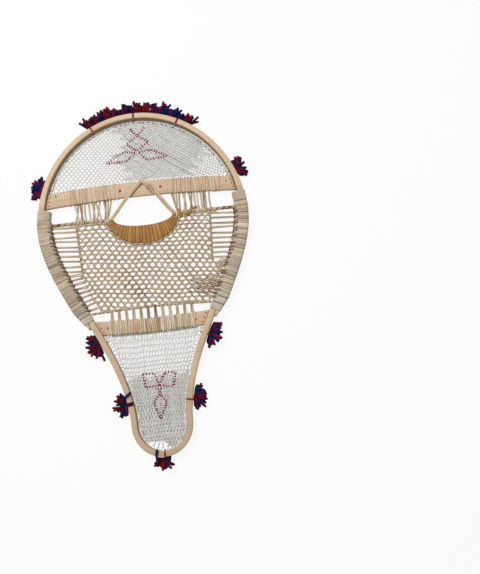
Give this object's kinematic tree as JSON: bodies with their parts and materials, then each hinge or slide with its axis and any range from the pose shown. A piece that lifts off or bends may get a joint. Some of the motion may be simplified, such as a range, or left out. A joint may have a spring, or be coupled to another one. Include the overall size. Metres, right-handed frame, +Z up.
{
  "type": "beaver tail snowshoe",
  "caption": "Rounded wooden snowshoe frame with a narrow tail, laced rawhide nets, two crossbars, a leather-bound toe hole and swinging yarn tufts.",
  "frame": {"origin": "on the ground, halfway between the tip of the toe fringe and the tip of the tail tuft, on the middle line", "axes": "+Y to the toe, +X to the wearer's right, +Z up from the ground"},
  "size_m": [0.4536, 0.7542, 0.0212],
  "materials": {
    "wood": "pale bent wood, oiled satin",
    "red_thread": "wool thread",
    "fine_cord": "fine pale rawhide cord",
    "rawhide": "dried rawhide, satin",
    "tanned_leather": "smoked leather, matt",
    "tape": "smooth hide tape",
    "yarn": "wool yarn, red and navy"
  },
  "bodies": {
    "frame": {"toe_hoop": "wood", "tail_hoop": "wood", "front_crossbar": "wood", "rear_crossbar": "wood", "front_bar_pegs": "red_thread", "crossbar_plugs": "red_thread", "toe_net_stitching": "red_thread", "tail_net_stitching": "red_thread", "toe_fringe_ties": "red_thread", "tuft_ties": "red_thread", "toe_net": "fine_cord", "toe_net_selvage": "fine_cord", "tail_net": "fine_cord", "tail_net_selvage": "fine_cord", "front_bar_lacing": "fine_cord", "rear_bar_lacing": "fine_cord", "centre_net": "rawhide", "master_cord": "rawhide", "lower_border_cord": "rawhide", "right_selvage_cord": "rawhide", "left_selvage_cord": "rawhide", "right_side_strands": "rawhide", "left_side_strands": "rawhide", "right_suspenders": "rawhide", "left_suspenders": "rawhide", "rear_strands": "rawhide", "right_toe_cord": "rawhide", "left_toe_cord": "rawhide", "right_winding": "rawhide", "left_winding": "rawhide", "toe_hole_leather": "tanned_leather", "right_front_tape": "tape", "left_front_tape": "tape", "right_end_tape": "tape", "left_end_tape": "tape", "toe_fringe": "yarn"},
    "right_side_tuft": {"right_side_tuft": "yarn"},
    "left_side_tuft": {"left_side_tuft": "yarn"},
    "right_waist_tuft": {"right_waist_tuft": "yarn"},
    "left_waist_tuft": {"left_waist_tuft": "yarn"},
    "right_tail_tuft": {"right_tail_tuft": "yarn"},
    "left_tail_tuft": {"left_tail_tuft": "yarn"},
    "tail_end_tuft": {"tail_end_tuft": "yarn"}
  },
  "joints": [
    {"name": "right_side_tuft_swing", "type": "hinge", "parent": "frame", "child": "right_side_tuft", "pos_m": [0.19978, 0.2186, 0.008], "axis": [0.3696, -0.9292, 0], "range_deg": [-60, 60]},
    {"name": "left_side_tuft_swing", "type": "hinge", "parent": "frame", "child": "left_side_tuft", "pos_m": [-0.19978, 0.2186, 0.008], "axis": [0.3696, 0.9292, 0], "range_deg": [-60, 60]},
    {"name": "right_waist_tuft_swing", "type": "hinge", "parent": "frame", "child": "right_waist_tuft", "pos_m": [0.10997, -0.11832, 0.008], "axis": [-0.422, -0.9066, 0], "range_deg": [-60, 60]},
    {"name": "left_waist_tuft_swing", "type": "hinge", "parent": "frame", "child": "left_waist_tuft", "pos_m": [-0.10997, -0.11832, 0.008], "axis": [-0.422, 0.9066, 0], "range_deg": [-60, 60]},
    {"name": "right_tail_tuft_swing", "type": "hinge", "parent": "frame", "child": "right_tail_tuft", "pos_m": [0.06808, -0.24203, 0.008], "axis": [-0.1585, -0.9874, 0], "range_deg": [-60, 60]},
    {"name": "left_tail_tuft_swing", "type": "hinge", "parent": "frame", "child": "left_tail_tuft", "pos_m": [-0.06808, -0.24203, 0.008], "axis": [-0.1585, 0.9874, 0], "range_deg": [-60, 60]},
    {"name": "tail_end_tuft_swing", "type": "hinge", "parent": "frame", "child": "tail_end_tuft", "pos_m": [0, -0.35015, 0.008], "axis": [-1, 0, 0], "range_deg": [-60, 60]}
  ]
}
